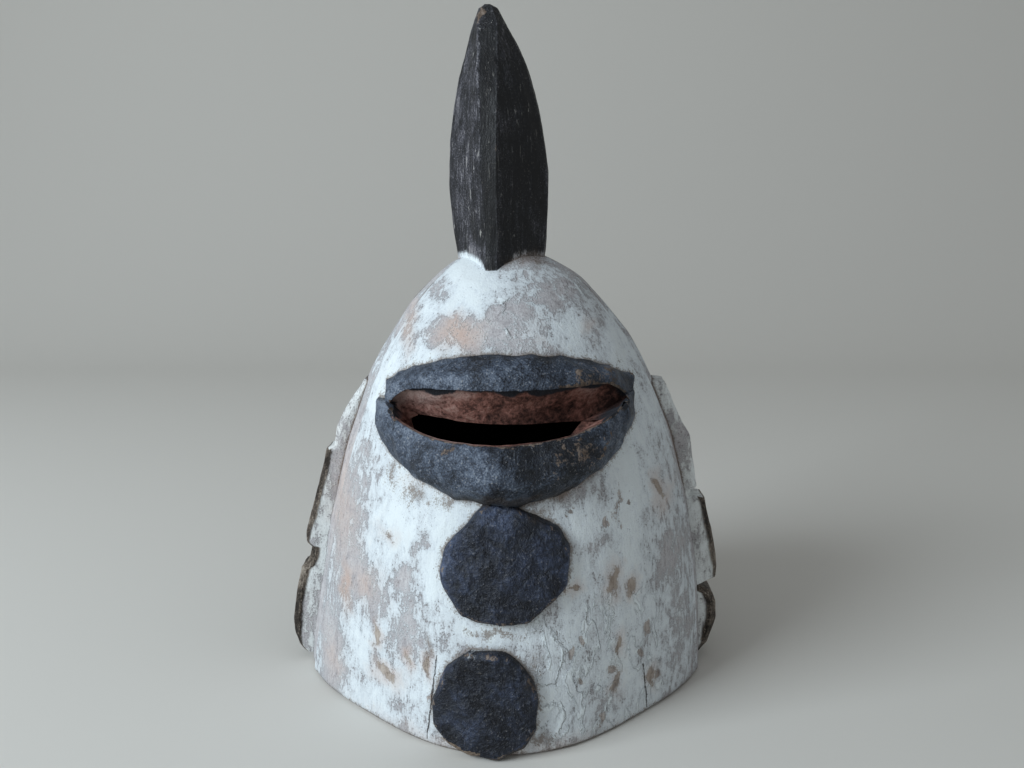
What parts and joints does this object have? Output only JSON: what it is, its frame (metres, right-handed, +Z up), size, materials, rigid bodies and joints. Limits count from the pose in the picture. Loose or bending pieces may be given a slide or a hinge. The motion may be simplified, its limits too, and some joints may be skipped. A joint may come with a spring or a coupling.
{
  "type": "carved wooden helmet mask",
  "caption": "Hollow dome-shaped helmet mask carved from one block, with a raised slot mouth, flat bosses, notched side combs and a leaf-shaped crest.",
  "frame": {"origin": "on the surface that the rim stands on, at the middle of the footprint", "axes": "+Z up toward the tip of the crest, -Y out of the face, +X to the right of someone who looks at the face"},
  "size_m": [0.2586, 0.2472, 0.3855],
  "materials": {
    "painted_wood": "matt flaking white earth paint on the face, charcoal black on the raised parts and the back, red-brown in the mouth"
  },
  "bodies": {
    "root": {"mask": "painted_wood"}
  },
  "joints": []
}
